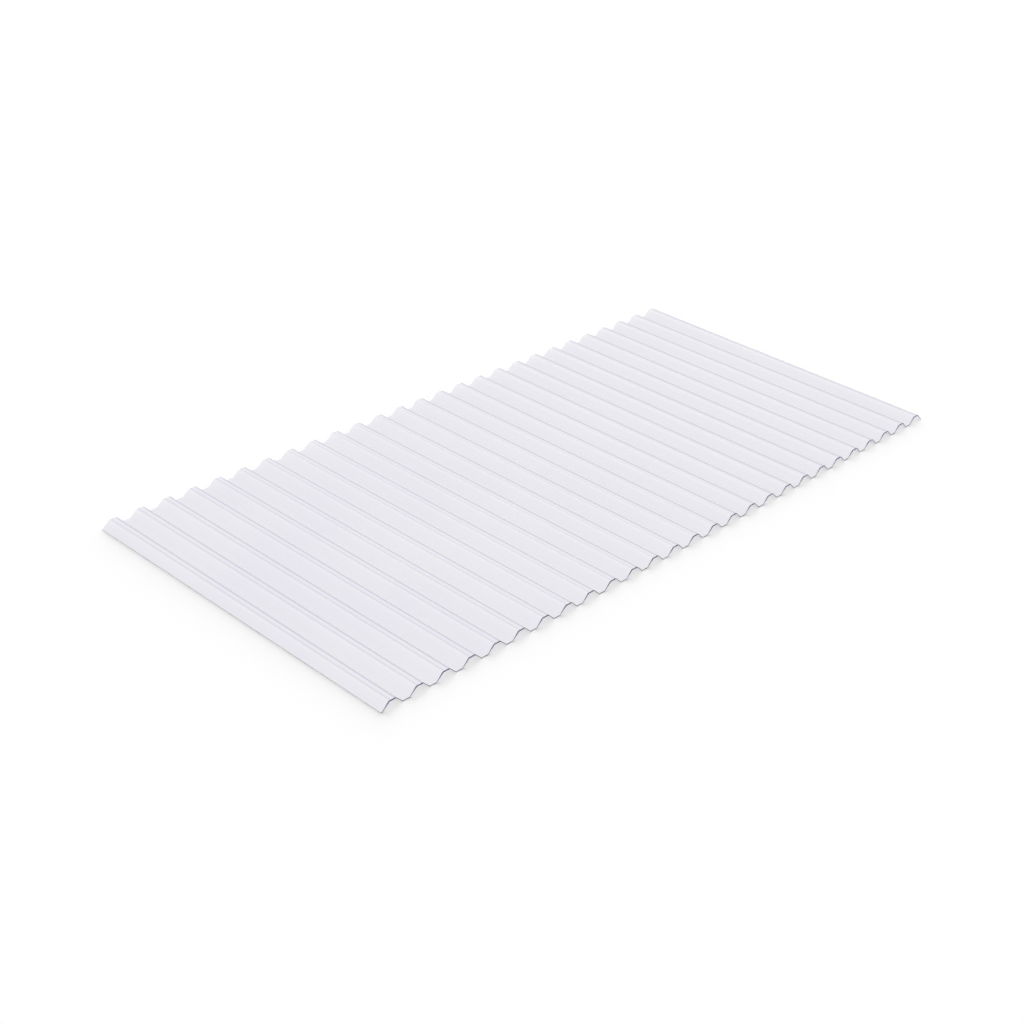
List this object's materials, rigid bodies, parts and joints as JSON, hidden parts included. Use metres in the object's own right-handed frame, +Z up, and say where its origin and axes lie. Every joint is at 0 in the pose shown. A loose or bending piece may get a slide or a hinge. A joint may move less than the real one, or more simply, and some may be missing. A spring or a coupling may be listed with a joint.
{
  "type": "corrugated polycarbonate sheet",
  "caption": "Clear roofing sheet of even thickness with flat-topped trapezoidal waves, its ridges running across the shorter side.",
  "frame": {"origin": "centre of the sheet's plan, on the plane of the valley undersides that it lies on", "axes": "+X across the waves, along the sheet's longer side; +Y along the ridges; +Z up, from the valleys to the crests"},
  "size_m": [2.0388, 0.95, 0.018],
  "materials": {
    "clear_polycarbonate": "clear, glossy, with a faint violet tint"
  },
  "bodies": {
    "root": {"corrugated_sheet": "clear_polycarbonate"}
  },
  "joints": []
}
